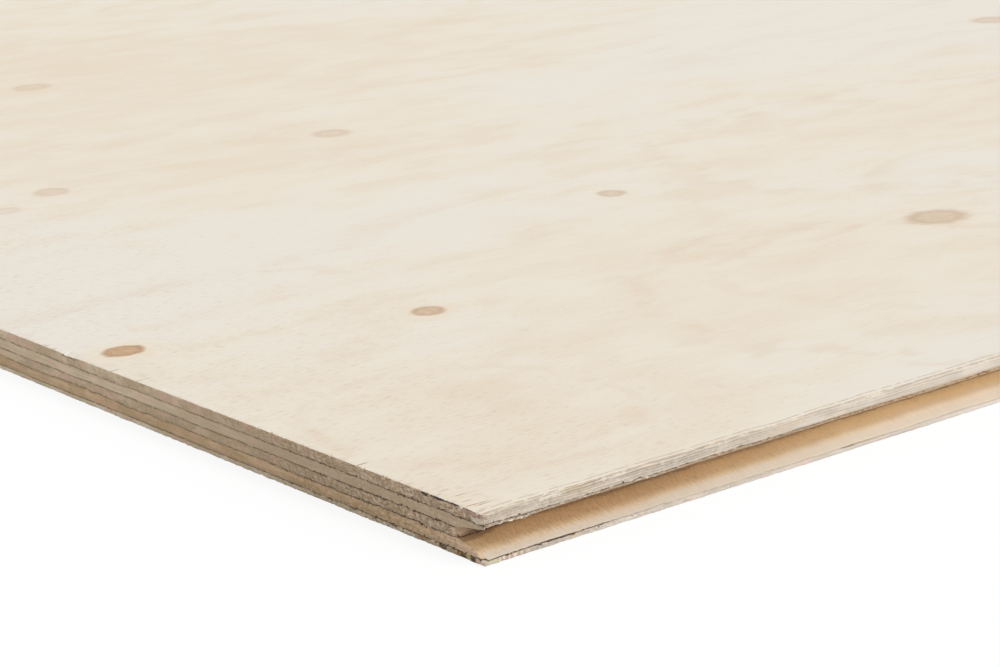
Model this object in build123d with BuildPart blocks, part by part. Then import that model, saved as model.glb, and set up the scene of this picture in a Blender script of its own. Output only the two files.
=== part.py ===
"""Softwood plywood sheet for floors, with a groove along one long edge and a tongue along the other.

Five rotary-cut veneers lie glued face to face, each with its grain across that of its neighbours.
The sheet is cut square at both ends, and the joint is milled through the veneers of the long edges.

X runs along the sheet, Y across it from the grooved edge to the tongued one, and Z is up. The origin
is in the middle of the underside. Sizes are in millimetres.
"""

import os

from build123d import *

# The sheet, as sold: its width is measured over the tongue
sheet_length = 2440.0
sheet_width = 1220.0

# The veneers, from the underside up, as pressed and sanded
back_veneer_thickness = 1.7
lower_crossband_thickness = 3.5
core_veneer_thickness = 3.0
upper_crossband_thickness = 3.4
face_veneer_thickness = 3.4

# The groove: two lips, with sloping flanks that run in to a narrow root in the core veneer
groove_depth = 13.5
upper_lip_thickness = 4.5
lower_lip_thickness = 1.9
lower_lip_setback = 0.8
groove_root_height = 2.7
groove_root_radius = 0.6

# The tongue: the shape of the groove, less the room that the joint needs to close
flank_clearance = 0.3
root_clearance = 1.0
tongue_nose_radius = 1.1

veneers = [
    ("back_veneer", back_veneer_thickness),
    ("lower_crossband", lower_crossband_thickness),
    ("core_veneer", core_veneer_thickness),
    ("upper_crossband", upper_crossband_thickness),
    ("face_veneer", face_veneer_thickness),
]
sheet_thickness = sum(thickness for name, thickness in veneers)

# Where the joint lies across the sheet
grooved_edge = -sheet_width / 2
tongue_tip = sheet_width / 2
tongue_length = groove_depth - root_clearance
shoulder = tongue_tip - tongue_length

# The groove's root is level with the top of the core veneer
root_top = back_veneer_thickness + lower_crossband_thickness + core_veneer_thickness
root_bottom = root_top - groove_root_height


def upper_flank(depth):
    """Height of the groove's upper flank, at a depth in from the sheet's edge."""
    lip_underside = sheet_thickness - upper_lip_thickness
    return lip_underside + (root_top - lip_underside) * depth / groove_depth


def lower_flank(depth):
    """Height of the groove's lower flank, which starts at the lower lip, set back from the edge."""
    run = (depth - lower_lip_setback) / (groove_depth - lower_lip_setback)
    return lower_lip_thickness + (root_bottom - lower_lip_thickness) * run


# The sheet's cross-section, seen along its length, with Y across the page and Z up it
groove_root = grooved_edge + groove_depth
lower_lip = grooved_edge + lower_lip_setback

with BuildSketch() as section:
    with BuildLine():
        Polyline(
            (lower_lip, 0),
            (lower_lip, lower_flank(lower_lip_setback)),
            (groove_root, root_bottom),
            (groove_root, root_top),
            (grooved_edge, upper_flank(0)),
            (grooved_edge, sheet_thickness),
            (shoulder, sheet_thickness),
            (shoulder, upper_flank(0) - flank_clearance),
            (tongue_tip, upper_flank(tongue_length) - flank_clearance),
            (tongue_tip, lower_flank(tongue_length) + flank_clearance),
            (shoulder, lower_flank(0) + flank_clearance),
            (shoulder, 0),
            close=True,
        )
    make_face()
    root_corners = section.vertices().filter_by_position(Axis.X, groove_root, groove_root)
    fillet(root_corners, radius=groove_root_radius)
    nose_corners = section.vertices().filter_by_position(Axis.X, tongue_tip, tongue_tip)
    fillet(nose_corners, radius=tongue_nose_radius)

# Each veneer is the layer of that section between its two glue lines, run out to the sheet's length
os.makedirs("parts", exist_ok=True)
glue_line = 0.0

for name, thickness in veneers:
    with BuildPart() as veneer:
        with BuildSketch(Plane.YZ.offset(-sheet_length / 2)):
            add(section.sketch)
            with Locations((0, glue_line + thickness / 2)):
                Rectangle(sheet_width, thickness, mode=Mode.INTERSECT)
        extrude(amount=sheet_length)
    veneer.part.label = name
    export_step(veneer.part, f"parts/{name}.step")
    glue_line += thickness
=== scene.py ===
"""A tongue-and-groove plywood sheet in a pale studio, seen as in the photograph.

The sheet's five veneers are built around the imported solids, from the underside up. Each keeps the
outline of its solid, with the relief that the saw, the milling cutter and the peeling knife left.
"""

import math

import bpy
import numpy as np
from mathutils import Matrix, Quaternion, Vector


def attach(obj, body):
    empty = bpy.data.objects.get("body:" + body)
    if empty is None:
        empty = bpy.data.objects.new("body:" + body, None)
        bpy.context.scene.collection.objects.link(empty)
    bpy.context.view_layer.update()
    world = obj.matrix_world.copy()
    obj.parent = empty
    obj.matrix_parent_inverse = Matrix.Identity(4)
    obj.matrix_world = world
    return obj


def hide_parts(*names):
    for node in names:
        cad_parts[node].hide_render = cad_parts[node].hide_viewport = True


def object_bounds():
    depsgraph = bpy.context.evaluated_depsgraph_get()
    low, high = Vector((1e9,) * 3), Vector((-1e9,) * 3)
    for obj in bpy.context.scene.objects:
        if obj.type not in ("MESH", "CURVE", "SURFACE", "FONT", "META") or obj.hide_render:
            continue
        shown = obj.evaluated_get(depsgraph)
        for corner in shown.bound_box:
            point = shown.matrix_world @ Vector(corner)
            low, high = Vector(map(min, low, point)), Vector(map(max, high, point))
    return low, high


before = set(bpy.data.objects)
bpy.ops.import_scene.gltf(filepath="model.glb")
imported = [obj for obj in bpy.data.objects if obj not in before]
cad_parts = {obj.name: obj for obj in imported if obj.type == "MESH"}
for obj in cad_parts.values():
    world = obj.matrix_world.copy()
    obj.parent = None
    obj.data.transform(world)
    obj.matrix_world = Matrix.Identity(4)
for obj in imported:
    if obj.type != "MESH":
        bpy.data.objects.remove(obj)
cad_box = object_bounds()
sheet_low, sheet_high = cad_box
scene = bpy.context.scene
scene.view_settings.view_transform = "Standard"
mm = 0.001

# The camera stands low and close by one corner of the sheet, with a long lens. Its place, its sight line
# and its roll were fitted to the edges that meet at that corner in the photograph.
near_corner = Vector((sheet_low.x, sheet_low.y, 0))
camera_from_corner = Vector((-384.3, -559.2, 248.2)) * mm
sight_heading = math.radians(54.83)
sight_drop = math.radians(15.21)
camera_roll = math.radians(-4.16)

camera_data = bpy.data.cameras.new("camera")
camera_data.sensor_width = 36
camera_data.lens = 98.1
camera_data.clip_start = 0.01
camera = bpy.data.objects.new("camera", camera_data)
scene.collection.objects.link(camera)
scene.camera = camera
sight = Vector((
    math.cos(sight_drop) * math.cos(sight_heading),
    math.cos(sight_drop) * math.sin(sight_heading),
    -math.sin(sight_drop),
))
camera.location = near_corner + camera_from_corner
camera.rotation_mode = "QUATERNION"
camera.rotation_quaternion = sight.to_track_quat("-Z", "Y") @ Quaternion((0, 0, 1), camera_roll)

# Two broad soft lamps stand before the grooved edge: a high one that lights the outer half of the groove,
# and a low one that reaches in under its upper lip. The near end is lit by the pale room alone.
lamps = [
    ("high_lamp", (0.25, -0.54, 0.80), 1.68, 22),
    ("low_lamp", (0.35, -0.90, 0.30), 1.25, 40),
]
for lamp_name, towards_lamp, lamp_strength, lamp_width in lamps:
    lamp_data = bpy.data.lights.new(lamp_name, "SUN")
    lamp_data.energy = lamp_strength
    lamp_data.angle = math.radians(lamp_width)
    lamp = bpy.data.objects.new(lamp_name, lamp_data)
    scene.collection.objects.link(lamp)
    lamp.rotation_mode = "QUATERNION"
    lamp.rotation_quaternion = Vector(towards_lamp).to_track_quat("Z", "Y")


class Wire:
    """An output in a node tree. Sums and products of wires add their Math nodes."""

    def __init__(self, tree, socket):
        self.tree = tree
        self.socket = socket

    def node(self, kind, settings, sockets, output=0):
        """Adds any other node to the same tree: its settings first, then what its sockets hold."""
        made = self.tree.nodes.new(kind)
        for setting, value in settings.items():
            setattr(made, setting, value)
        for name, value in sockets.items():
            if isinstance(value, Wire):
                self.tree.links.new(value.socket, made.inputs[name])
            else:
                made.inputs[name].default_value = value
        return Wire(self.tree, made.outputs[output])

    def math(self, operation, *values):
        """This wire and the values, through one Math node."""
        return self.node("ShaderNodeMath", {"operation": operation}, dict(enumerate((self, *values))))

    def __add__(self, other):
        return self.math("ADD", other)

    def __sub__(self, other):
        return self.math("SUBTRACT", other)

    def __rsub__(self, other):
        return self * -1 + other

    def __mul__(self, other):
        return self.math("MULTIPLY", other)

    def __truediv__(self, other):
        return self.math("DIVIDE", other)

    __radd__ = __add__
    __rmul__ = __mul__


def shows_background(tree):
    """1 for the rays that show the background: straight from the camera, in a gloss or through glass."""
    paths = tree.nodes.new("ShaderNodeLightPath")
    kinds = ("Is Camera Ray", "Is Glossy Ray", "Is Transmission Ray")
    seen, glossy, through = (Wire(tree, paths.outputs[kind]) for kind in kinds)
    return seen.math("MAXIMUM", glossy).math("MAXIMUM", through)


def mix_shaders(share, shader, other):
    """A shader that is already in the tree, turned to another one by a share from 0 to 1."""
    first = Wire(share.tree, shader.outputs[0])
    return share.node("ShaderNodeMixShader", {}, {0: share, 1: first, 2: other})


# The room lights the sheet evenly from all sides, and shows as white
white = (1, 1, 1, 1)
room_strength = 0.5
world = bpy.data.worlds.new("room")
world.use_nodes = True
scene.world = world
room = world.node_tree
room_light = room.nodes["Background"]
room_light.inputs["Color"].default_value = white
room_light.inputs["Strength"].default_value = room_strength
room_shown = shows_background(room)
white_wall = room_shown.node("ShaderNodeBackground", {}, {"Color": white, "Strength": 1})
room_look = mix_shaders(room_shown, room_light, white_wall)
room.links.new(room_look.socket, room.nodes["World Output"].inputs["Surface"])

# The floor is a pale sweep. It shows as white, with a share of its own shading left in, so that the sheet
# keeps its shadow.
floor_reach = 12
floor_gap = 0.2 * mm
floor_shade = 0.75
shading_kept = 0.14
white_added = 1.035
floor_mesh = bpy.data.meshes.new("floor")
floor_mesh.from_pydata(
    [(x * floor_reach, y * floor_reach, -floor_gap) for x, y in ((-1, -1), (1, -1), (1, 1), (-1, 1))],
    [],
    [(0, 1, 2, 3)],
)
floor = bpy.data.objects.new("floor", floor_mesh)
scene.collection.objects.link(floor)
floor_paint = bpy.data.materials.new("floor")
floor_paint.use_nodes = True
floor_tree = floor_paint.node_tree
floor_shader = floor_tree.nodes["Principled BSDF"]
floor_shader.inputs["Base Color"].default_value = (floor_shade, floor_shade, floor_shade, 1)
floor_shader.inputs["Roughness"].default_value = 0.9
floor_shown = shows_background(floor_tree) * (1 - shading_kept)
floor_white = floor_shown.node("ShaderNodeEmission", {}, {"Strength": white_added})
floor_look = mix_shaders(floor_shown, floor_shader, floor_white)
floor_tree.links.new(floor_look.socket, floor_tree.nodes["Material Output"].inputs["Surface"])
floor_mesh.materials.append(floor_paint)

# The back veneer is the thinnest: a rotary-cut sheet of softwood with its grain along the sheet, and the
# face that lies on the joists. The functions that shape, saw and colour a veneer start with it.

# The points along the sheet's edges lie close together by the near corner, and farther apart away from
# it. Lengths are in mm.
fine_step = 0.3
fine_length = 210
fine_width = 300
coarse_step = 4
step_growth = 1.02

GROOVED, FAR_END, TONGUED, NEAR_END = range(4)
outward = np.array([(0, -1), (1, 0), (0, 1), (-1, 0)])
sheet_length = (sheet_high.x - sheet_low.x) / mm
sheet_width = (sheet_high.y - sheet_low.y) / mm


def stations(length, fine):
    """How far along an edge its points lie, from 0 to 1: close together over its fine part."""
    step = fine_step if fine else coarse_step
    marks = [0]
    while marks[-1] < length:
        marks.append(marks[-1] + step)
        if marks[-1] > fine:
            step = min(step * step_growth, coarse_step)
    return np.array(marks) / marks[-1]


edge_marks = [
    stations(sheet_length, fine_length)[:-1],
    stations(sheet_width, 0)[:-1],
    stations(sheet_length, 0)[:-1],
    1 - stations(sheet_width, fine_width)[:0:-1],
]
point_side = np.concatenate([np.full(len(marks), side) for side, marks in enumerate(edge_marks)])
point_share = np.concatenate(edge_marks)

speckle_columns, speckle_rows = 1021, 127


def speckle(u, seed, v=0):
    """Smooth noise from -1 to 1 over u and v, one random value to each unit, from a fixed seed."""
    table = np.random.default_rng(seed).uniform(-1, 1, (speckle_columns, speckle_rows))
    column, row = np.floor(u).astype(int), np.floor(v).astype(int)
    across, up = u - column, v - row
    across, up = across * across * (3 - 2 * across), up * up * (3 - 2 * up)
    near, far = column % speckle_columns, (column + 1) % speckle_columns
    low, high = row % speckle_rows, (row + 1) % speckle_rows
    return (
        (table[near, low] * (1 - across) + table[far, low] * across) * (1 - up)
        + (table[near, high] * (1 - across) + table[far, high] * across) * up
    )


# How near to each other two corners of a solid count as at one end, and as at one height, in mm
same_end = 0.01
same_height = 0.002


def edge_profile(node):
    """The heights of the corners on a veneer's two long edges, and where they lie across the sheet."""
    corners = np.array([corner.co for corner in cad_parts[node].data.vertices]) / mm
    end = corners[corners[:, 0] < corners[:, 0].min() + same_end]
    profile = []
    for side in (end[end[:, 1] < 0], end[end[:, 1] > 0]):
        heights = np.unique(np.round(side[:, 2], 3))
        places = [side[np.abs(side[:, 2] - height) < same_height][:, 1].mean() for height in heights]
        profile.append((heights, np.array(places)))
    return profile


# The rings of points up a veneer's edges, in mm: those by a glue line, those between, and the least gap
rings_by_glue = (0, 0.07, 0.18)
first_between, last_between = 0.34, 0.25
ring_step = 0.33
least_ring_gap = 0.06


def ring_heights(groove_heights, tongue_heights):
    """The heights of the rings: by the glue lines, between them and at the corners of both edges."""
    bottom, top = groove_heights[0], groove_heights[-1]
    by_glue = [bottom + gap for gap in rings_by_glue] + [top - gap for gap in rings_by_glue]
    between = np.arange(bottom + first_between, top - last_between, ring_step)
    heights = np.concatenate([by_glue, between, groove_heights, tongue_heights])
    heights = np.unique(np.round(heights.clip(bottom, top), 3))
    heights = heights[np.append(True, np.diff(heights) > least_ring_gap)]
    heights[-1] = top
    return heights


# How uneven each glue line is, from the lowest up, and its waves: their height, length and seed
glue_unevenness = (0.8, 1.6, 1.0, 1.0)
glue_waves = ((0.15, 21, 100), (0.12, 4.7, 105), (0.06, 1.3, 109))


def glue_wander(glue_line, s, side):
    """How far a glue line strays from level, in mm, at a distance along one side of the sheet."""
    own_seed = 10 * glue_line + side
    waves = [height * speckle(s / length, seed + own_seed) for height, length, seed in glue_waves]
    return glue_unevenness[glue_line] * sum(waves)


def ringed_mesh(name, x, y, z):
    """A closed mesh of rings of points, each joined to the next, with a cap on the first and the last."""
    ring_count, points = x.shape
    vertices = np.stack([x, y, z], axis=-1).reshape(-1, 3) * mm
    first = np.arange(points)
    following = (first + 1) % points
    ring = np.arange(ring_count - 1)[:, None] * points
    corners = [ring + first, ring + following, ring + points + following, ring + points + first]
    quads = np.stack(corners, axis=-1).reshape(-1, 4)
    caps = [first[::-1].tolist(), ((ring_count - 1) * points + first).tolist()]
    mesh = bpy.data.meshes.new(name)
    mesh.from_pydata(vertices.tolist(), [], quads.tolist() + caps)
    return mesh


OUTER_FACE, SAWN_END, LONG_EDGE, MILLED = range(4)


def face_finishes(height, inset, groove_y, tongue_y):
    """The finish of each face between two rings, and of the caps. The slopes wear the cutter's."""
    finish = np.full((len(height) - 1, len(point_side)), OUTER_FACE)
    for r in range(len(height) - 1):
        if inset[r, 0] == 0 and inset[r + 1, 0] == 0:
            finish[r] = np.where(point_side % 2 == 1, SAWN_END, LONG_EDGE)
            step_up = height[r + 1, 0] - height[r, 0]
            for long_edge, place in ((GROOVED, groove_y), (TONGUED, tongue_y)):
                if abs(place[r + 1, 0] - place[r, 0]) > step_up:
                    finish[r][point_side == long_edge] = MILLED
    return np.append(finish.ravel(), [OUTER_FACE, OUTER_FACE])


# By the sheet's upright corners, in mm: where the relief dies out, and how far wear and a knock reach
corner_calm = 0.6
corner_wear_reach = 0.8
corner_dip_reach = 8
far_from_glue = 9.0


def veneer_mesh(node, glue_lines, relief, corner_wear, materials, cap_insets=([3], [3]), corner_dip=0):
    """A veneer of wood with the outline of its node's solid and the relief of its edges.

    Rings run round the sheet: out over the underside, up the edges and in over the top. glue_lines are
    those under and over the veneer, and cap_insets how far in from the edge the rings on its underside
    and its top lie. relief(side, s, y, z, inset) gives how far each point of the edges stands out and up,
    in mm, and how thickly torn fibres stand there. s is measured along the side, and inset is how far in
    from the edge a point lies. corner_wear is how far the sheet's upright corners are worn back, in mm,
    at the veneer's underside and at its top, and corner_dip how far its top is knocked down there.
    """
    (groove_heights, groove_places), (tongue_heights, tongue_places) = edge_profile(node)
    bottom, top = groove_heights[0], groove_heights[-1]
    under = [(bottom, inset) for inset in sorted(cap_insets[0], reverse=True)]
    up_the_edge = [(height, 0) for height in ring_heights(groove_heights, tongue_heights)]
    over = [(top, inset) for inset in sorted(cap_insets[1])]
    height, inset = (np.array(values)[:, None] for values in zip(*under, *up_the_edge, *over))

    groove_y = np.interp(height, groove_heights, groove_places) + inset
    tongue_y = np.interp(height, tongue_heights, tongue_places) - inset
    half = sheet_length / 2 - inset
    share, side = point_share[None, :], point_side[None, :]
    along, across = 2 * half * share, (tongue_y - groove_y) * share
    x = np.choose(side, [-half + along, half, half - along, -half])
    y = np.choose(side, [groove_y, groove_y + across, tongue_y, tongue_y - across])
    z = height + 0 * x
    s = np.where(side % 2 == 0, x, y)
    to_corner = np.where(side % 2 == 0, half - np.abs(x), np.minimum(y - groove_y, tongue_y - y))
    by_corner = np.clip(to_corner / corner_calm, 0, 1)

    out, lift, fuzz = relief(side + 0 * s, s, y, z, inset + 0 * s)
    share_up = (z - bottom) / (top - bottom)
    for glue_line, share_moved in zip(glue_lines, ((top - z) / (top - bottom), share_up)):
        if glue_line is not None:
            for one_side in range(4):
                wave = glue_wander(glue_line, s, one_side)
                lift = lift + np.where(side == one_side, wave * share_moved * np.exp(-inset), 0)
    worn = corner_wear[0] + (corner_wear[1] - corner_wear[0]) * share_up
    worn = worn * (1 + 0.6 * speckle(z / 0.9, 61)) * np.exp(-(to_corner / corner_wear_reach) ** 2 - inset)
    x = x + outward[side, 0] * out * by_corner - np.sign(x) * worn
    y = y + outward[side, 1] * out * by_corner - np.sign(y) * worn
    from_corner = np.hypot(sheet_length / 2 - np.abs(x), sheet_width / 2 - np.abs(y))
    dip = corner_dip * share_up * np.exp(-((from_corner / corner_dip_reach) ** 2))
    z = z + lift * by_corner - dip

    name = f"{node}_wood"
    mesh = ringed_mesh(name, x, y, z)
    finish = face_finishes(height, inset, groove_y, tongue_y)
    for material in materials:
        mesh.materials.append(material)
    mesh.polygons.foreach_set("material_index", np.minimum(finish, len(materials) - 1))
    mesh.polygons.foreach_set("use_smooth", finish == MILLED)

    # How far each point of an edge is from the nearest glue line, in mm, and how torn the wood is there
    glue = np.full(x.shape, far_from_glue)
    if glue_lines[0] is not None:
        glue = np.minimum(glue, height - bottom + inset)
    if glue_lines[1] is not None:
        glue = np.minimum(glue, top - height + inset)
    for layer_name, layer in (("glue_gap", glue), ("fuzz", fuzz * by_corner)):
        mesh.attributes.new(layer_name, "FLOAT", "POINT").data.foreach_set("value", layer.ravel())

    piece = bpy.data.objects.new(name, mesh)
    scene.collection.objects.link(piece)
    return piece


# Each kind of relief gives how far the points of a veneer's edges stand out and up, in mm, and how thickly
# torn fibres stand there. side, s, y, z and inset are as veneer_mesh gives them.


def sawn(side, s, z, end_grain):
    """The saw's and the cutter's marks: rough where fibres end, and ribbed along them."""
    rough = 0.07 * speckle(s / 0.5, 11, z / 0.5) + 0.07 * speckle(s / 2.5, 12, z / 1.2)
    ribbed = 0.025 * speckle(s / 13, 13, z / 0.4) + 0.03 * speckle(s / 3.5, 14, z / 1.3)
    return np.where(np.isin(side, end_grain), rough, ribbed), 0, 0


# How far from the near end, in mm, the groove's run-out starts to fade, and over what length
run_out, run_out_fade = 12, 14


def by_near_end(s):
    """1 where the groove runs out at the near end, and 0 farther along it."""
    return np.clip(1 - (s - sheet_low.x / mm - run_out) / run_out_fade, 0, 1)


def worn_arris(side, s, z, inset, arris, chipping):
    """An outer arris at a height, worn all along, chipped by the saw, with torn fibres at the ends."""
    at_end = side % 2 == 1
    reach = np.hypot(z - arris, inset)
    chip = speckle(s / 1.3, 21) + 0.7 * speckle(s / 0.5, 22) - 0.6
    chip = np.clip(chip, 0, 1) * chipping * np.where(at_end, 1, 0.1 + 0.35 * by_near_end(s))
    worn = 0.11 + 0.06 * speckle(s / 2.1, 23) + 0.04 * speckle(s / 11, 24)
    rounded = 0.06 + 0.06 * speckle(s / 5, 28) + 0.06 * speckle(s / 0.8, 27)
    worn = worn + np.where(at_end, 0, chipping * rounded)
    wear_reach = np.where(at_end, 0.2, 0.4)
    out = -chip * 0.9 * np.exp(-(reach / 0.7) ** 2) - worn * np.exp(-(reach / wear_reach) ** 2)
    knocked = (chip * 0.35 + worn) * np.exp(-(reach / 0.4) ** 2)
    tufts = 0.3 + 0.7 * (speckle(s / 3, 25) > 0.2)
    return out, knocked if arris == 0 else -knocked, at_end * np.exp(-(reach / 0.15) ** 2) * tufts


def large_chip(side, s, z, inset, arris, across, half_length, depth, reach_in):
    """A larger chip out of the near end's upper arris: how far across it lies, and its size."""
    here = np.clip(1.3 - np.abs(s - sheet_low.y / mm - across) / half_length, 0, 1)
    here = here * (0.8 + 0.3 * speckle(s / 1.1, 26)) * (side == NEAR_END)
    lost = here * depth * np.clip(1 - inset / reach_in, 0, 1) * np.exp(-((z - arris) / 1.2) ** 2)
    return -0.5 * lost * (inset == 0), -lost, 0


def torn_lip(side, s, y, z, corner):
    """A corner of the grooved edge, given across the sheet and up, where the cutter tore the wood."""
    reach = np.hypot(y - corner[0], z - corner[1])
    near_tear = np.exp(-(reach / 0.9) ** 2) * (side == GROOVED)
    ragged = speckle(s / 1.2, 31) + 0.8 * speckle(s / 0.55, 32)
    gouge = np.clip(speckle(s / 7, 33) + 0.4 * speckle(s / 2.3, 34) - 0.35, 0, 1)
    out = -near_tear * (0.15 + 0.25 * speckle(s / 0.8, 35, z / 0.6) + 0.4 * gouge)
    lift = near_tear * (0.74 - 0.56 * by_near_end(s) + 0.28 * ragged + 0.4 * gouge)
    tufts = (0.15 + 0.85 * by_near_end(s)) * (side == GROOVED)
    return out, lift, tufts * np.exp(-(reach / 0.35) ** 2)


def sawn_relief(end_grain, arris=None, chipping=1.0, tear=None, chips=()):
    """The relief of a veneer's edges, for veneer_mesh. end_grain are the sides with the fibres' ends.

    arris is the height of an outer arris, and chipping how badly the saw chipped it. tear is the corner
    that torn_lip takes, and each of the chips is what large_chip takes after the arris.
    """

    def relief(side, s, y, z, inset):
        kinds = [sawn(side, s, z, end_grain)]
        if arris is not None:
            kinds.append(worn_arris(side, s, z, inset, arris, chipping))
        for chip in chips:
            kinds.append(large_chip(side, s, z, inset, arris, *chip))
        if tear is not None:
            kinds.append(torn_lip(side, s, y, z, tear))
        return [sum(amounts) for amounts in zip(*kinds)]

    return relief


def ramp(wire, low, high):
    """From 0 at low to 1 at high, with soft ends; high may be the smaller one."""
    sockets = {"Value": wire, "From Min": low, "From Max": high}
    return wire.node("ShaderNodeMapRange", {"interpolation_type": "SMOOTHSTEP"}, sockets)


def noise(at, cells, detail, seed, roughness=0.5):
    """Noise from about 0 to 1, with its own number of cells to a metre along x and y, or x, y and z."""
    scale, start = (*cells, 1)[:3], (seed, seed * 0.7, 0)
    moved = at.node("ShaderNodeMapping", {}, {"Vector": at, "Scale": scale, "Location": start})
    sockets = {"Vector": moved, "Scale": 1.0, "Detail": detail, "Roughness": roughness}
    return moved.node("ShaderNodeTexNoise", {"noise_dimensions": f"{len(cells)}D"}, sockets)


def shade(colour, amount):
    """A colour made darker or lighter by a factor."""
    return tuple(channel * amount for channel in colour)


def blend(share, colour, other):
    """One colour turned to another by a share from 0 to 1."""
    sockets = {0: share}
    for socket, value in ((6, colour), (7, other)):
        sockets[socket] = value if isinstance(value, Wire) else (*value, 1)
    return share.node("ShaderNodeMix", {"data_type": "RGBA"}, sockets, output=2)


def start_material(name):
    """A new material, with the wire that gives its Object coordinates."""
    material = bpy.data.materials.new(name)
    material.use_nodes = True
    where = material.node_tree.nodes.new("ShaderNodeTexCoord")
    return material, Wire(material.node_tree, where.outputs["Object"])


def end_material(material, colour, roughness, height, depth):
    """Feeds the shader: its colour, its roughness, and a bump of that height, at most depth metres deep."""
    shader = material.node_tree.nodes["Principled BSDF"]
    shader.inputs["Specular IOR Level"].default_value = 0.3
    bump = height.node("ShaderNodeBump", {}, {"Height": height, "Distance": depth, "Strength": 1.0})
    links = material.node_tree.links
    links.new(colour.socket, shader.inputs["Base Color"])
    links.new(roughness.socket, shader.inputs["Roughness"])
    links.new(bump.socket, shader.inputs["Normal"])
    return material


def vector_math(operation, *values, output=0):
    """Vectors, the first of them a wire, through one Vector Math node."""
    sockets = dict(enumerate(values))
    return values[0].node("ShaderNodeVectorMath", {"operation": operation}, sockets, output)


def split_axes(at):
    """The wires of x, y and z, in metres."""
    axes = at.node("ShaderNodeSeparateXYZ", {}, {0: at})
    return [Wire(at.tree, socket) for socket in axes.socket.node.outputs]


def scaled(at, centre, scale):
    """Coordinates moved to a centre and scaled about it."""
    return vector_math("MULTIPLY", vector_math("SUBTRACT", at, centre), scale)


def length_of(vector):
    """How long a vector is."""
    return vector_math("LENGTH", vector, output=1)


def from_place(at, place, size):
    """Distance from a place on the near corner's faces, which is 1 at the rim of an ellipse of that size.

    The place is along, across and up from the sheet's near bottom corner and the size is the whole of
    the ellipse, both in mm. A size of 0 leaves that axis out, and a great one holds what is painted to
    one end or edge of the sheet.
    """
    centre = [low + offset * mm for low, offset in zip(sheet_low, place)]
    return length_of(scaled(at, centre, [2 / (length * mm) if length else 0 for length in size]))


def greatest(wires):
    """The greatest of several wires."""
    most = wires[0]
    for wire in wires[1:]:
        most = most.math("MAXIMUM", wire)
    return most


# Strewn knots: the cells that hold one at most, and how small and how much larger they are, in metres
knot_cell = (0.33, 0.27)
least_knot, knot_growth = 0.004, 0.007


def strewn_knots(at, seed):
    """Knots strewn over the sheet: how far off the nearest one is, 1 at its rim, and how dark it is."""
    cells = scaled(at, (seed, 0.3, 0), (1 / knot_cell[0], 1 / knot_cell[1], 0))
    sockets = {"Vector": cells, "Scale": 1.0, "Randomness": 0.8}
    nearest = cells.node("ShaderNodeTexVoronoi", {"voronoi_dimensions": "2D"}, sockets)
    outputs = nearest.socket.node.outputs
    presence, size, darkness = split_axes(Wire(at.tree, outputs["Color"]))
    knot_centre = Wire(at.tree, outputs["Position"])
    off = length_of(vector_math("MULTIPLY", vector_math("SUBTRACT", cells, knot_centre), (*knot_cell, 0)))
    return off / (least_knot + knot_growth * size), ramp(presence, 0.45, 0.47) * (0.3 + 0.4 * darkness)


def end_splits(at, seed, fibre, splits):
    """Splits that run in from the sawn ends, and how darkly each point of them is painted."""
    x, y, _ = split_axes(at)
    inwards = x.math("ABSOLUTE") * -1 + sheet_high.x
    starts_at = noise(at, (0, 520), 1.0, seed + 33)
    reach = noise(at, (0, 260), 0.0, seed + 35) * 0.012 - 0.003
    split = ramp(starts_at, 0.66, 0.70) * ramp(inwards - reach, 0.001, -0.001)
    if splits:
        split = split * ramp(y, sheet_low.y + 0.03, sheet_low.y + 0.045)
    painted = [split * 0.6]
    for across, start, stop in splits:
        sliver = from_place(at, ((start + stop) / 2, across, 0), (stop - start, 0.5, 0))
        painted.append(ramp(sliver + fibre * 0.3, 1.2, 0.5) * 0.85)
    return split, greatest(painted)


# The arris's tan, part worn wood and part painted shade, and the layer lines beside it
arris_shade_tan = (0.56, 0.48, 0.37)
layer_brown = (0.44, 0.34, 0.24)
layer_lines = ((-1.5 * mm, 0.5 * mm, 0.8), (0.7 * mm, 0.45 * mm, 0.65))


def milled_arris(at, colour, seed):
    """The arris over the groove, darkened, and broken lines where the veneer's layers come out beside it.
    """
    y = split_axes(at)[1]
    # Darker at the arris: partly its own worn tan, partly painted shade against the glint on its rounding
    painted_arris_shade = ramp(y, sheet_low.y + 1.3 * mm, sheet_low.y + 0.2 * mm)
    colour = blend(painted_arris_shade * 0.7, colour, arris_shade_tan)
    sway = noise(at, (32, 32), 2.0, seed + 61) * 4 * mm
    broken = noise(at, (260, 420), 2.0, seed + 63, 0.7)
    for off_edge, half_width, strength in layer_lines:
        off_line = (y - (sheet_low.y + off_edge) - sway).math("ABSOLUTE")
        layer = ramp(off_line, half_width, half_width * 0.3) * ramp(broken, 0.36, 0.52)
        colour = blend(layer * strength, colour, layer_brown)
    return colour


split_brown = (0.33, 0.19, 0.09)
halo_tan = (0.78, 0.63, 0.42)
knot_tan = (0.555, 0.37, 0.225)
knot_brown = (0.475, 0.30, 0.165)
knot_rim_brown = (0.38, 0.21, 0.115)


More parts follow.
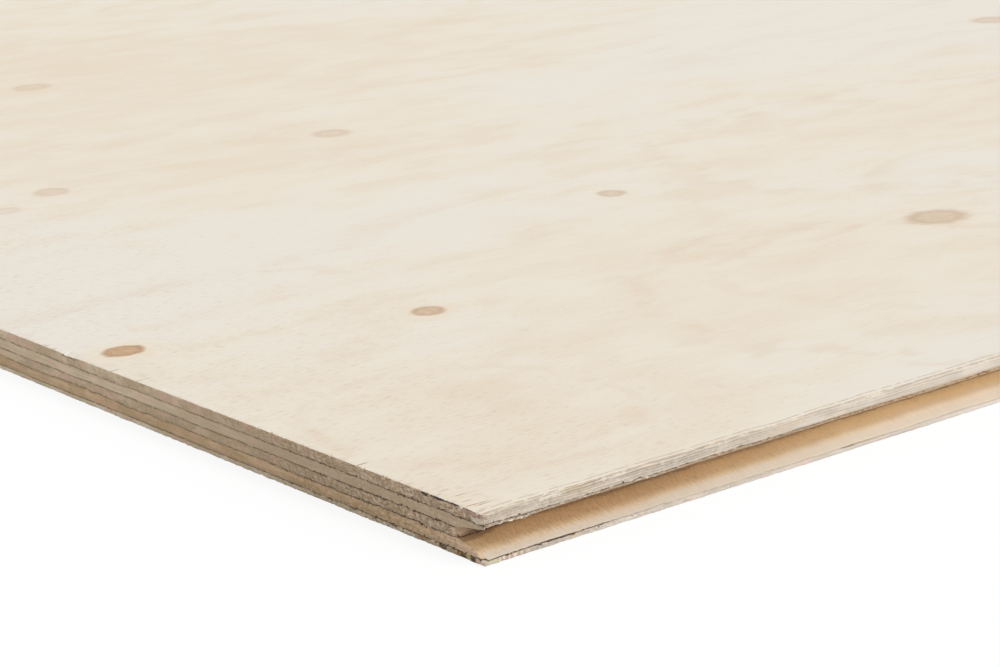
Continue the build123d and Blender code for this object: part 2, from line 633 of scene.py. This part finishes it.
def peeled_wood(name, tones, seed, knots=(), zones=(), loops=(), splits=()):
    """Rotary-cut softwood: soft clouds and faint growth rings that bend round the knots.

    knots are the ones in known places: along and across the sheet from the near corner, their two
    widths, in mm, and how dark they are. Where there are some, the strewn ones start farther off.
    zones are broad places of a warmer tone, or a cooler one where their strength is below 0. loops are
    rings that the knife cut through aslant, given as the zones are. splits run in from the near end: how
    far across, and where they start and stop. Only the face has splits, and a milled arris with them.
    """
    material, at = start_material(name)
    x = split_axes(at)[0]
    pale, warm, cool, line = tones

    # Each knot is 1 away at its rim, and the figure swells round it
    distance, darkness = strewn_knots(at, seed)
    if knots:
        darkness = darkness * ramp(x, sheet_low.x + 0.70, sheet_low.x + 0.75)
    all_knots = [(distance, darkness)]
    for along, across, knot_length, knot_width, darkness in knots:
        all_knots.append((from_place(at, (along, across, 0), (knot_length, knot_width, 0)), darkness))
    ragged = noise(at, (190, 220), 1.0, seed + 41) * 0.3 - 0.15
    figure = noise(at, (1.7, 5.0), 2.0, seed) * 8
    discs, rims, halos = [], [], []
    for distance, darkness in all_knots:
        soft = 0.35 - 0.25 * darkness
        discs.append(ramp(distance + ragged, 1.1 + soft, 0.9 - soft) * darkness)
        rims.append(ramp(distance + ragged, 0.45, 0.95) * discs[-1])
        halos.append(ramp(distance, 2.6, 0.9) * darkness)
        figure = figure + ramp(distance, 5.0, 0) * darkness * 1.6
    knot = greatest(discs)

    # Broad tones and smaller clouds, warm over cool
    broad = noise(at, (2.6, 4.2), 1.0, seed + 17) * 0.7 + 0.15
    for along, across, zone_length, zone_width, strength in zones:
        away = from_place(at, (along, across, 0), (zone_length, zone_width, 0))
        broad = broad + ramp(away, 1.3, 0.1) * strength
    clouds = noise(at, (21, 36), 3.0, seed + 9, 0.6)
    colour = blend(ramp(broad + clouds * 0.3, 0.48, 0.76), cool, pale)
    colour = blend(ramp(broad + clouds * 0.9, 0.88, 1.30), colour, warm)

    # Growth rings are the level lines of the figure, faint in peeled wood
    ring = figure.math("FRACT")
    latewood = ramp(ring, 0.45, 0.93) * ramp(ring, 1.0, 0.95)
    ring_strength = 0.13 + ramp(x, sheet_low.x + 0.5, sheet_low.x + 1.1) * 0.14
    ring_strength = ring_strength + ramp(x, sheet_low.x + 1.0, sheet_low.x + 2.4) * 0.1
    colour = blend(latewood * ramp(clouds, 0.3, 0.7) * ring_strength, colour, line)
    patchy = noise(at, (55, 80), 2.0, seed + 65)
    for along, across, loop_length, loop_width, strength in loops:
        away = from_place(at, (along, across, 0), (loop_length, loop_width, 0)) + clouds * 0.5 - 0.25
        loop = ramp((away - 1).math("ABSOLUTE"), 0.10, 0.02) * ramp(patchy, 0.38, 0.62)
        colour = blend(loop * strength, colour, line)

    # Fine streaks, and short flecks along the grain that crowd towards the sawn ends
    fibre = noise(at, (35, 1300), 1.0, seed + 21)
    fleck = noise(at, (230, 1100), 1.0, seed + 31)
    crowd = ramp(x.math("ABSOLUTE"), sheet_high.x - 0.19, sheet_high.x - 0.01) * 0.12
    colour = blend(ramp(fibre, 0.5, 0.85) * 0.16, colour, line)
    colour = blend(ramp(fleck + clouds * 0.22 + crowd, 0.80, 0.98) * 0.32, colour, shade(line, 0.85))
    split, painted_split = end_splits(at, seed, fibre, splits)
    colour = blend(painted_split, colour, split_brown)
    if splits:
        colour = milled_arris(at, colour, seed)

    # A knot is tan, and darker at its rim, in a faint warm halo
    heart = noise(at, (420, 420), 1.0, seed + 51)
    colour = blend(greatest(halos) * 0.3, colour, halo_tan)
    colour = blend(knot, colour, blend(ramp(heart, 0.35, 0.65), knot_tan, knot_brown))
    colour = blend(greatest(rims) * 0.6, colour, knot_rim_brown)

    sheen = 0.74 + 0.1 * fibre - 0.1 * knot
    return end_material(material, colour, sheen, fibre * 0.3 - split, 0.12 * mm)


def wall_noise(at, axis, along, up, detail, seed, roughness=0.5):
    """Noise on a wall, with so many cells to a metre along it and up it."""
    return noise(at, (along, 1, up) if axis == "x" else (1, along, up), detail, seed, roughness)


def glue_distance(at):
    """How far a point of a wall is from the nearest glue line, in mm."""
    return at.node("ShaderNodeAttribute", {"attribute_name": "glue_gap"}, {}, output=2)


def rough_share(at):
    """How rough the walls look: 1 at the near corner, and less away from it, where the saw ran cleaner."""
    x, y, _ = split_axes(at)
    away = (x - sheet_low.x).math("MAXIMUM", y - sheet_low.y)
    return 1.15 - ramp(away, 30 * mm, 140 * mm) * 0.85


def glue_mark(at, seed, fades=None):
    """Where the cured glue shows between two veneers: a thin line with drops in it, wood smeared over it.

    fades are two distances from the near end, in mm, between which it grows faint.
    """
    smear = noise(at, (210, 210, 600), 2.0, seed, 0.7)
    drops = noise(at, (700, 700, 900), 1.0, seed + 2)
    rough = rough_share(at)
    gap = glue_distance(at) + ramp(smear, 0.5, 0.64) * 0.32 - ramp(drops, 0.57, 0.68) * rough * 0.42
    mark = ramp(gap, 0.26, 0.07) * (0.5 + rough * 0.4)
    if fades:
        near, far = (sheet_low.x + distance * mm for distance in fades)
        mark = mark * (1 - ramp(split_axes(at)[0], near, far) * 0.8)
    return mark


# How far out from the middle of a tint, and of a mark, its colour starts, and where it is whole
tint_rim, mark_rim = (1.0, 0.25), (1.25, 0.75)


def paint(at, colour, marks, rim, ragged=0):
    """Paints marks on a colour: each is a place and a size for from_place, a colour and a strength."""
    for place, size, mark_colour, strength in marks:
        inside = ramp(from_place(at, place, size) + ragged, *rim)
        colour = blend(inside * strength, colour, mark_colour)
    return colour


glue_brown = (0.085, 0.045, 0.025)


def end_grain(name, axis, tones, seed, tints=(), marks=(), fades=None):
    """The sawn ends of the fibres: a mottle of pits and torn flecks, with slanting lathe checks.

    tones are a light one, a dark one, a blush that comes in patches, and that of the flecks. The glue
    fades as glue_mark says.
    """
    material, at = start_material(name)
    light, dark, blush, fleck = tones
    x, y, z = split_axes(at)
    along = x if axis == "x" else y
    mottle = wall_noise(at, axis, 640, 1400, 2.0, seed, 0.8)
    hue = wall_noise(at, axis, 80, 230, 2.0, seed + 5)
    blushing = wall_noise(at, axis, 95, 190, 1.0, seed + 7)
    slant = at.node("ShaderNodeCombineXYZ", {}, {0: along * 640 - z * 430, 1: z * 130, 2: 0.0})
    checks = slant.node("ShaderNodeTexNoise", {"noise_dimensions": "2D"}, {"Vector": slant, "Scale": 1.0})
    colour = blend(ramp(hue, 0.40, 0.60), light, dark)
    colour = blend(ramp(blushing, 0.50, 0.64) * 0.8, colour, blush)
    colour = paint(at, colour, tints, tint_rim)
    rough = rough_share(at)
    colour = blend(ramp(mottle, 0.5, 0.34) * 0.6 * rough, colour, fleck)
    colour = blend(ramp(checks, 0.53, 0.64) * 0.45 * rough, colour, shade(dark, 0.5))
    colour = blend(ramp(mottle, 0.53, 0.66) * 0.7 * rough, colour, shade(dark, 0.38))
    colour = blend(ramp(glue_distance(at), 0.9, 0.1) * 0.25, colour, shade(dark, 0.6))
    colour = paint(at, colour, marks, mark_rim, mottle * 2.4 - 1.2)
    glue = glue_mark(at, seed + 13, fades)
    colour = blend(glue, colour, glue_brown)
    return end_material(material, colour, 0.75 + mottle * 0.1, mottle * -1 - glue, 0.16 * mm)


layer_shadow = (0.27, 0.20, 0.13)


def side_grain(name, axis, tones, seed, tints=(), marks=(), layers=(), fur=0.3, fades=None):
    """A veneer sawn along its fibres: long wavy streaks, and the heights in mm at which a layer shows.

    tones are a light one, a dark one and a blush, fur is how much torn fibre roughens it, and the glue
    fades as glue_mark says.
    """
    material, at = start_material(name)
    light, dark, blush = tones
    z = split_axes(at)[2]
    sway = wall_noise(at, axis, 38, 60, 2.0, seed)
    lifted = at.node("ShaderNodeCombineXYZ", {}, {0: 0.0, 1: 0.0, 2: sway * 1.5 * mm})
    swayed = vector_math("ADD", at, lifted)
    streaks = wall_noise(swayed, axis, 26, 1500, 2.0, seed + 3, 0.65)
    mottle = wall_noise(at, axis, 620, 1000, 2.0, seed + 5, 0.8)
    patch = wall_noise(at, axis, 80, 170, 2.0, seed + 7)
    blushing = wall_noise(at, axis, 110, 260, 1.0, seed + 9)
    colour = blend(ramp(patch, 0.38, 0.60), light, dark)
    colour = blend(ramp(blushing, 0.50, 0.64) * 0.8, colour, blush)
    colour = paint(at, colour, tints, tint_rim)
    rough = rough_share(at)
    colour = blend(ramp(streaks, 0.46, 0.66) * (0.3 + rough * 0.25), colour, shade(dark, 0.66))
    colour = blend(ramp(streaks, 0.44, 0.28) * (0.2 + rough * 0.3), colour, shade(light, 1.18))
    colour = blend(ramp(mottle, 0.52, 0.68) * rough * fur, colour, shade(dark, 0.45))
    colour = blend(ramp(mottle, 0.48, 0.34) * rough * fur * 0.8, colour, shade(light, 1.25))
    colour = blend(ramp(glue_distance(at), 0.8, 0.1) * 0.25, colour, shade(dark, 0.6))
    for height, strength in layers:
        off_line = (z - height * mm + (sway - 0.5) * 1.4 * mm).math("ABSOLUTE")
        layer = ramp(off_line, 0.22 * mm, 0.06 * mm) * ramp(mottle * 0.5 + patch, 0.58, 0.74)
        colour = blend(layer * (0.35 + rough * 0.6) * strength, colour, layer_shadow)
    colour = paint(at, colour, marks, mark_rim, mottle * 2 - 1)
    glue = glue_mark(at, seed + 13, fades)
    colour = blend(glue, colour, glue_brown)
    relief = mottle * -0.8 - streaks * 0.5 - glue
    return end_material(material, colour, 0.7 + mottle * 0.1, relief, 0.12 * mm)


def torn_fibres():
    """A tree of geometry nodes that sets thin tapering fibres on a veneer where it is torn.

    How torn it is, from 0 to 1, comes from its layer named fuzz.
    """
    tree = bpy.data.node_groups.new("torn_fibres", "GeometryNodeTree")
    tree.is_modifier = True
    numbers = [("Length", "Float"), ("Thickness", "Float"), ("Share", "Float"), ("Lean", "Vector")]
    inputs = [("Veneer", "Geometry"), *numbers, ("Seed", "Int"), ("Wood", "Material")]
    for socket_name, kind in inputs:
        tree.interface.new_socket(socket_name, in_out="INPUT", socket_type=f"NodeSocket{kind}")
    tree.interface.new_socket("Veneer", in_out="OUTPUT", socket_type="NodeSocketGeometry")
    given = tree.nodes.new("NodeGroupInput")
    wires = [Wire(tree, given.outputs[socket_name]) for socket_name, _ in inputs]
    veneer, length, thickness, share, lean, seed, wood = wires

    fuzz = veneer.node("GeometryNodeInputNamedAttribute", {"data_type": "FLOAT"}, {"Name": "fuzz"})
    chance = veneer.node("FunctionNodeRandomValue", {"data_type": "FLOAT"}, {"Seed": seed}, output=1)
    less_than = {"data_type": "FLOAT", "operation": "LESS_THAN"}
    chosen = veneer.node("FunctionNodeCompare", less_than, {0: chance, 1: fuzz * share})
    roots = veneer.node("GeometryNodeMeshToPoints", {}, {"Mesh": veneer, "Selection": chosen})
    taper = {"Vertices": 4, "Radius Top": 0.0, "Radius Bottom": thickness, "Depth": length}
    fibre = veneer.node("GeometryNodeMeshCone", {}, taper)
    on_faces = {"data_type": "BOOLEAN", "domain": "FACE"}
    label = {"Geometry": fibre, "Name": "loose_fibre", "Value": True}
    fibre = veneer.node("GeometryNodeStoreNamedAttribute", on_faces, label)
    any_way = {0: (-1, -1, -1), 1: (1, 1, 1), "Seed": seed}
    sway = veneer.node("FunctionNodeRandomValue", {"data_type": "FLOAT_VECTOR"}, any_way)
    towards = vector_math("ADD", sway, lean)
    turned = veneer.node("FunctionNodeAlignRotationToVector", {"axis": "Z"}, {"Vector": towards})
    sizes = {2: 0.3, 3: 1.0, "Seed": seed + 1}
    size = veneer.node("FunctionNodeRandomValue", {"data_type": "FLOAT"}, sizes, output=1)
    placing = {"Points": roots, "Instance": fibre, "Rotation": turned, "Scale": size}
    fibres = veneer.node("GeometryNodeInstanceOnPoints", {}, placing)
    joined = veneer.node("GeometryNodeJoinGeometry", {}, {"Geometry": fibres})
    tree.links.new(veneer.socket, joined.socket.node.inputs["Geometry"])
    real = veneer.node("GeometryNodeRealizeInstances", {}, {"Geometry": joined})
    flag = {"data_type": "BOOLEAN"}
    loose = veneer.node("GeometryNodeInputNamedAttribute", flag, {"Name": "loose_fibre"})
    clothing = {"Geometry": real, "Selection": loose, "Material": wood}
    dressed = veneer.node("GeometryNodeSetMaterial", {}, clothing)
    result = tree.nodes.new("NodeGroupOutput")
    tree.links.new(dressed.socket, result.inputs["Veneer"])
    return tree


def loose_wood(light, dark):
    """The loose fibres: split wood, paler than the sawn edge they hang from."""
    material, at = start_material("loose_fibre")
    tint = noise(at, (900, 900, 900), 1.0, 71.0)
    colour = blend(ramp(tint, 0.35, 0.65), light, dark)
    return end_material(material, colour, 0.7 + tint * 0.1, tint, 0.05 * mm)


fibre_wood = loose_wood((0.78, 0.70, 0.58), (0.58, 0.48, 0.35))
fibre_tree = torn_fibres()
fibre_length = 0.5


def grow_fibres(piece, thickness, share, lean, seed):
    """Sets fibres on a veneer, and makes the result its plain mesh. The thickness is in mm."""
    modifier = piece.modifiers.new("fibres", "NODES")
    modifier.node_group = fibre_tree
    values = {"Length": fibre_length * mm, "Thickness": thickness * mm, "Share": share}
    values |= {"Lean": lean, "Seed": seed, "Wood": fibre_wood}
    for socket in fibre_tree.interface.items_tree:
        if socket.in_out == "INPUT" and socket.name in values:
            modifier[socket.identifier] = values[socket.name]
    evaluated = piece.evaluated_get(bpy.context.evaluated_depsgraph_get())
    grown = bpy.data.meshes.new_from_object(evaluated)
    piece.modifiers.clear()
    piece.data = grown
    for layer_name in ("fuzz", "loose_fibre"):
        grown.attributes.remove(grown.attributes[layer_name])


back_tones = (0.78, 0.70, 0.58), (0.74, 0.62, 0.46), (0.77, 0.71, 0.62), (0.62, 0.46, 0.31)
back_face = peeled_wood("back_face", back_tones, seed=57.0)

# The near end is duller by its corner. The tongued edge is painted paler than the grooved one: painted
# light that lifts it out of its shade, as the edges' tones are set for the brightly lit grooved edge.
dull_end = ((0, 15, 7.5), (0, 400, 0), (0.35, 0.22, 0.12), 0.5)
tongued_painted_light = ((0, 1220, 0), (0, 400, 0), (0.80, 0.69, 0.54), 0.8)

# A mark this long along the sheet, in mm, is whole at the near end and out of sight at the far one
held_to_end = 900


def near_end_marks(rows):
    """Marks on the near end: how far across and up, their width and height, colour and strength."""
    return [((0, y, z), (held_to_end, width, height), *look) for y, z, width, height, *look in rows]


def long_edge_marks(rows):
    """Marks on a long edge: how far along and up, their length and height, colour and strength."""
    return [((x, 0, z), (length, 0, height), *look) for x, z, length, height, *look in rows]


back_stains = near_end_marks([
    (2.2, 1.0, 4.0, 1.2, (0.62, 0.47, 0.38), 0.8),
    (6.0, 0.7, 2.6, 1.9, (0.07, 0.035, 0.02), 0.95),
    (8.4, 0.9, 1.6, 1.3, (0.55, 0.42, 0.13), 0.9),
    (10.6, 0.8, 3.4, 1.7, (0.11, 0.08, 0.015), 0.95),
    (13.2, 0.7, 2.4, 1.2, (0.46, 0.20, 0.09), 0.8),
    (16.0, 0.8, 3.4, 1.3, (0.46, 0.33, 0.19), 0.8),
    (20.0, 0.9, 3.8, 1.3, (0.12, 0.08, 0.03), 0.9),
    (30.0, 1.1, 5, 1.4, (0.38, 0.19, 0.10), 0.7),
    (44.0, 1.4, 3, 0.8, (0.12, 0.07, 0.04), 0.7),
    (64.0, 1.4, 4, 0.8, (0.12, 0.07, 0.04), 0.6),
])
back_end_tones = (0.99, 0.83, 0.64), (0.81, 0.67, 0.44), (0.87, 0.61, 0.46), (1.0, 0.95, 0.80)
back_tint = ((0, 15, 7.5), (0, 400, 0), (0.35, 0.24, 0.13), 0.36)
back_end = end_grain("back_end", "y", back_end_tones, seed=3.0, tints=[back_tint], marks=back_stains)
back_edge_near = ((8, 0, 1), (60, 0, 0), (0.38, 0.33, 0.27), 0.8)
back_edge_far = ((260, 0, 1), (260, 0, 0), (0.68, 0.62, 0.56), 0.9)
back_edge_tints = [back_edge_near, back_edge_far, tongued_painted_light]
back_edge_marks = long_edge_marks([
    (26, 1.72, 11, 0.7, (0.10, 0.06, 0.04), 0.95),
    (29.4, 1.65, 2.4, 1.0, (0.08, 0.045, 0.03), 0.95),
    (136, 1.75, 18, 0.8, (0.36, 0.28, 0.25), 0.7),
    (131, 1.75, 5, 0.9, (0.22, 0.16, 0.14), 0.8),
    (9, 0.9, 11, 1.9, (0.40, 0.30, 0.22), 0.7),
    (5.0, 0.8, 0.9, 1.5, (0.66, 0.55, 0.45), 0.8),
    (6.5, 1.0, 1.2, 1.2, (0.69, 0.56, 0.46), 0.85),
    (8.1, 0.9, 0.8, 1.7, (0.66, 0.54, 0.44), 0.75),
    (10.1, 0.8, 1.5, 1.4, (0.70, 0.60, 0.51), 0.85),
    (12.2, 1.0, 0.9, 1.3, (0.64, 0.54, 0.43), 0.8),
    (14.4, 0.8, 1.7, 1.2, (0.60, 0.51, 0.40), 0.7),
    (2.6, 0.7, 4, 1.2, (0.54, 0.50, 0.34), 0.7),
    (30, 0.9, 2.5, 1.4, (0.56, 0.44, 0.25), 0.5),
])
back_edge_tones = (0.60, 0.54, 0.47), (0.54, 0.47, 0.39), (0.62, 0.50, 0.42)
back_edge = side_grain(
    "back_edge",
    "x",
    back_edge_tones,
    seed=5.0,
    tints=back_edge_tints,
    marks=back_edge_marks,
    fur=0.4,
    fades=(35, 60),
)
back = veneer_mesh(
    "back_veneer",
    glue_lines=(None, 0),
    cap_insets=([0.15, 0.6, 3], [3]),
    relief=sawn_relief([FAR_END, NEAR_END], arris=0, chipping=0.35),
    corner_wear=(0.15, 0.85),
    materials=[back_face, back_end, back_edge],
)
grow_fibres(back, thickness=0.06, share=0.25, lean=(-1.5, 0, 0.9), seed=2)
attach(back, "root")
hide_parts("back_veneer")

# The lower crossband lies under the core with its grain across the sheet. The cutter left a sloping flank
# on it, the floor of the groove, where the grain runs in towards the root.
# Painted shade at the root of the groove, under the lip
root_shade_brown = (0.28, 0.165, 0.085)
# Tones for the floor half way in, paler farther along: painted light where the lip's shadow lies
halfway_tone = (0.62, 0.49, 0.345)
far_halfway_tone = (0.84, 0.71, 0.54)


def milled_flank(name, deep, far_deep, lip, far_lip, seed):
    """A flank of the groove or the tongue, milled along the grain, paler towards its lip or its tip.

    Its deep part is darker and more orange: partly the wood's own tone, partly painted shade of the lip
    over it. Both its colours, deep and at the lip, grow paler on the way along the sheet, painted light
    that reaches deeper into the groove there, and half way in it is painted paler, painted light in the
    lip's shadow. At the root or the shoulder it is painted dark brown, painted shade under the lip.
    """
    material, at = start_material(name)
    x, y, _ = split_axes(at)
    hatch = noise(at, (3000, 520, 200), 1.0, seed, 0.6)
    smear = noise(at, (45, 60, 60), 2.0, seed + 5, 0.55)
    # Farther along the colours grow paler and the pale band reaches deeper in: painted light in the groove
    farther = ramp(x + smear * 60 * mm, sheet_low.x + 45 * mm, sheet_low.x + 200 * mm)
    farther = farther * (1 - ramp(x, sheet_low.x + 230 * mm, sheet_low.x + 600 * mm) * 0.55)
    from_lip = y.math("ABSOLUTE") * -1 + sheet_high.y
    inwards = from_lip + (smear * (farther + 1) + hatch + 0.1 - farther * 1.4) * 4 * mm
    outwards = ramp(inwards, 9.9 * mm, 5.9 * mm)
    halfway_in = ramp(from_lip, 3.4 * mm, 6.0 * mm)
    colour = blend(farther, deep, far_deep)
    by_the_end = ramp(x, sheet_low.x + 16 * mm, sheet_low.x + 3 * mm)
    # Painted shade: dark brown on the floor by the root, under the lip, wider by the near end
    root_shade = ramp(from_lip + (hatch + by_the_end * 1.8) * mm, 11.8 * mm, 13.3 * mm)
    colour = blend(root_shade * (0.85 - farther * 0.6), colour, root_shade_brown)
    colour = blend(ramp(smear, 0.42, 0.62) * (0.25 - farther * 0.17), colour, shade(deep, 0.8))
    # Half way in the floor is painted paler, and the edge of the lip's shadow painted soft: painted light
    pale = blend(farther, lip, far_lip)
    pale = blend(halfway_in, pale, blend(farther * farther, halfway_tone, far_halfway_tone))
    colour = blend(ramp(from_lip, 9.0 * mm, 4.5 * mm) * 0.5, colour, pale)
    colour = blend(outwards, colour, pale)
    hatched = (0.46 - farther * 0.26) * (1 - outwards * 0.75)
    colour = blend(ramp(hatch, 0.46, 0.64) * hatched, colour, shade(deep, 0.55))
    colour = blend(ramp(hatch, 0.48, 0.34) * (0.2 - outwards * 0.14), colour, lip)
    return end_material(material, colour, 0.6 + hatch * 0.1, hatch * -1, 0.05 * mm)


lower_tints = [
    ((0, 10, 7.5), (0, 420, 0), (0.38, 0.25, 0.14), 0.25),
    ((0, 8, 3.4), (0, 30, 0), (0.84, 0.60, 0.42), 0.7),
]
lower_end_tones = (0.745, 0.54, 0.335), (0.59, 0.42, 0.24), (0.725, 0.47, 0.315)
lower_end = side_grain("lower_crossband_end", "y", lower_end_tones, seed=11.0, tints=lower_tints, fur=0.5)
lower_edge_tones = (0.62, 0.52, 0.38), (0.50, 0.38, 0.25), (0.60, 0.45, 0.32), (0.72, 0.62, 0.48)
lower_edge = end_grain("lower_crossband_edge", "x", lower_edge_tones, seed=13.0, fades=(30, 60))
lower_flank = milled_flank(
    "groove_floor",
    deep=(0.76, 0.52, 0.28),
    far_deep=(0.97, 0.755, 0.465),
    lip=(0.59, 0.52, 0.43),
    far_lip=(0.65, 0.565, 0.46),
    seed=17.0,
)
lower = veneer_mesh(
    "lower_crossband",
    glue_lines=(0, 1),
    relief=sawn_relief([GROOVED, TONGUED]),
    corner_wear=(0.85, 0.2),
    materials=[back_face, lower_end, lower_edge, lower_flank],
)
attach(lower, "root")
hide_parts("lower_crossband")

# The core veneer has its grain along the sheet again. It is the root of the groove and the nose of the
# tongue.
core_end_tones = (0.73, 0.56, 0.385), (0.57, 0.44, 0.285), (0.71, 0.475, 0.35), (0.86, 0.72, 0.55)
core_marks = near_end_marks([(14.3, 6.9, 2.0, 2.8, (0.74, 0.55, 0.40), 0.7)])
core_end = end_grain("core_end", "y", core_end_tones, seed=21.0, tints=[dull_end], marks=core_marks)
core_edge_tones = (0.60, 0.44, 0.29), (0.49, 0.35, 0.23), (0.56, 0.39, 0.27)
# The root wall is painted dark brown by the near end: painted shade under the groove's upper lip
root_wall_shade = ((9, 13.5, 7), (18, 40, 0), (0.14, 0.08, 0.045), 0.95)
core_edge = side_grain("core_edge", "x", core_edge_tones, seed=23.0, tints=[root_wall_shade], fades=(5, 40))
core = veneer_mesh(
    "core_veneer",
    glue_lines=(1, 2),
    relief=sawn_relief([FAR_END, NEAR_END]),
    corner_wear=(0.2, 0.2),
    materials=[back_face, core_end, core_edge, core_edge],
)
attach(core, "root")
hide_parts("core_veneer")

# The upper crossband has its grain across the sheet. Its end grain is the lower part of the groove's
# upper lip, where the cutter tore it.
lip_heights, lip_places = edge_profile("upper_crossband")[0]  # on the grooved side
lip_corner = np.argmin(np.round(lip_places, 2))
upper_end_tones = (0.78, 0.62, 0.445), (0.68, 0.55, 0.37), (0.74, 0.53, 0.39)
upper_end = side_grain("upper_crossband_end", "y", upper_end_tones, seed=31.0, tints=[dull_end], fur=0.22)
upper_edge_tones = (0.60, 0.53, 0.42), (0.42, 0.33, 0.23), (0.50, 0.40, 0.30), (0.84, 0.77, 0.66)
# Away from the near end the torn lip is dark brown: partly browner wood, partly painted shade below it
upper_edge_far_shade = ((300, 0, 11), (740, 0, 0), (0.30, 0.14, 0.045), 0.97)
upper_edge = end_grain(
    "upper_crossband_edge",
    "x",
    upper_edge_tones,
    seed=33.0,
    tints=[upper_edge_far_shade, tongued_painted_light],
    fades=(80, 200),
)
upper_flank = milled_flank(
    "groove_roof",
    deep=(0.72, 0.52, 0.32),
    far_deep=(0.88, 0.70, 0.48),
    lip=(0.50, 0.36, 0.23),
    far_lip=(0.58, 0.44, 0.29),
    seed=37.0,
)
upper = veneer_mesh(
    "upper_crossband",
    glue_lines=(2, 3),
    relief=sawn_relief([GROOVED, TONGUED], tear=(lip_places[lip_corner], lip_heights[lip_corner])),
    corner_wear=(0.3, 0.2),
    materials=[back_face, upper_end, upper_edge, upper_flank],
)
grow_fibres(upper, thickness=0.08, share=0.4, lean=(0, -1.6, -0.2), seed=5)
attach(upper, "root")
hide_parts("upper_crossband")

# The face veneer is the best side of the sheet: pale wood with small sound knots, sanded, its grain along
# the sheet. The saw chipped its upper arris across the ends.
face_tones = (0.785, 0.715, 0.605), (0.765, 0.68, 0.55), (0.775, 0.725, 0.645), (0.66, 0.50, 0.36)
face_knots = [
    (15, 224, 14, 13, 0.95),
    (111, 185, 11, 12, 0.66),
    (312, 145, 23, 21, 0.46),
    (264, 277, 10, 12, 0.42),
    (265, 484, 16, 18, 0.3),
    (120, 480, 14, 16, 0.3),
    (90, 462, 12, 12, 0.2),
    (239, 734, 19, 20, 0.25),
    (645, 438, 18, 20, 0.33),
]
face_zones = [
    (30, 40, 240, 220, 0.34),
    (100, 330, 320, 260, -0.2),
    (250, 120, 260, 180, 0.16),
    (310, 320, 330, 200, -0.15),
    (330, 740, 400, 300, 0.2),
    (620, 460, 360, 300, -0.22),
]
face_loops = [
    (235, 90, 165, 190, 0.24),
    (262, 110, 130, 120, 0.16),
    (50, 75, 90, 110, 0.2),
    (60, 250, 130, 90, 0.14),
    (430, 260, 260, 200, 0.2),
]
face_splits = [
    (8.3, 1, 9),
    (7.1, 3, 6),
    (4.0, 0, 5),
    (1.2, 0, 4.6),
    (12.3, 1, 6),
    (24.0, 2, 7),
    (22.0, 0, 3),
    (17.7, 3, 8),
    (8.6, 0, 5),
    (7.2, 1, 10.4),
]
face_top = peeled_wood("face", face_tones, 7.0, face_knots, face_zones, face_loops, face_splits)
# The near-black marks along the upper arris, and the one over the large chip, are partly a dark stain and
# partly painted shade in the arris's notches and chip
face_end_marks = near_end_marks([
    (4.4, 13.9, 8, 1.8, (0.46, 0.29, 0.23), 0.75),
    (2.6, 12.5, 6, 1.5, (0.74, 0.67, 0.52), 0.75),
    (27.0, 14.7, 3.4, 1.4, (0.055, 0.038, 0.035), 1.0),
    (20.6, 14.75, 8.6, 1.0, (0.06, 0.044, 0.042), 1.0),
    (14.4, 14.8, 5.6, 0.9, (0.065, 0.048, 0.044), 1.0),
    (7.2, 14.85, 4.4, 0.8, (0.13, 0.095, 0.085), 0.9),
    (9.9, 14.7, 1.4, 1.2, (1.0, 0.9, 0.82), 0.9),
    (2.4, 14.6, 1.6, 1.0, (0.98, 0.86, 0.78), 0.8),
    (234, 14.6, 11, 1.6, (0.25, 0.19, 0.15), 0.8),
])
face_end_tones = (0.745, 0.59, 0.42), (0.585, 0.45, 0.29), (0.70, 0.49, 0.365), (0.88, 0.745, 0.57)
face_end = end_grain("face_end", "y", face_end_tones, seed=41.0, tints=[dull_end], marks=face_end_marks)
face_edge_tones = (0.57, 0.505, 0.43), (0.495, 0.435, 0.355), (0.585, 0.495, 0.395)
face_edge_far = ((330, 0, 13), (480, 0, 0), (0.645, 0.575, 0.50), 0.9)
face_edge_marks = long_edge_marks([
    (23, 14.3, 9, 0.9, (0.70, 0.65, 0.57), 0.6),
    (29, 14.5, 10, 0.8, (0.42, 0.34, 0.22), 0.55),
    (33, 13.9, 3, 1.2, (0.42, 0.34, 0.21), 0.5),
])
face_edge_layers = [(14.75, 0.85), (13.95, 0.8), (13.2, 0.5), (12.5, 0.45)]
face_edge_near = ((0, 0, 13), (90, 0, 0), (0.42, 0.35, 0.265), 0.7)
face_edge_low = ((300, 0, 11.5), (620, 0, 2.2), (0.42, 0.29, 0.165), 0.9)
face_edge_tints = [face_edge_near, face_edge_far, face_edge_low, tongued_painted_light]
face_edge = side_grain(
    "face_edge",
    "x",
    face_edge_tones,
    seed=43.0,
    tints=face_edge_tints,
    marks=face_edge_marks,
    layers=face_edge_layers,
    fur=0.38,
    fades=(80, 200),
)
face = veneer_mesh(
    "face_veneer",
    glue_lines=(3, None),
    cap_insets=([3], [0.15, 0.5, 1.5, 3.5, 6, 9, 13]),
    relief=sawn_relief([FAR_END, NEAR_END], arris=sheet_high.z / mm, chips=[(234, 6, 0.8, 3.5)]),
    corner_wear=(0.3, 0.35),
    materials=[face_top, face_end, face_edge],
    corner_dip=0.35,
)
grow_fibres(face, thickness=0.06, share=0.3, lean=(-1.4, 0, -0.9), seed=9)
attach(face, "root")
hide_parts("face_veneer")
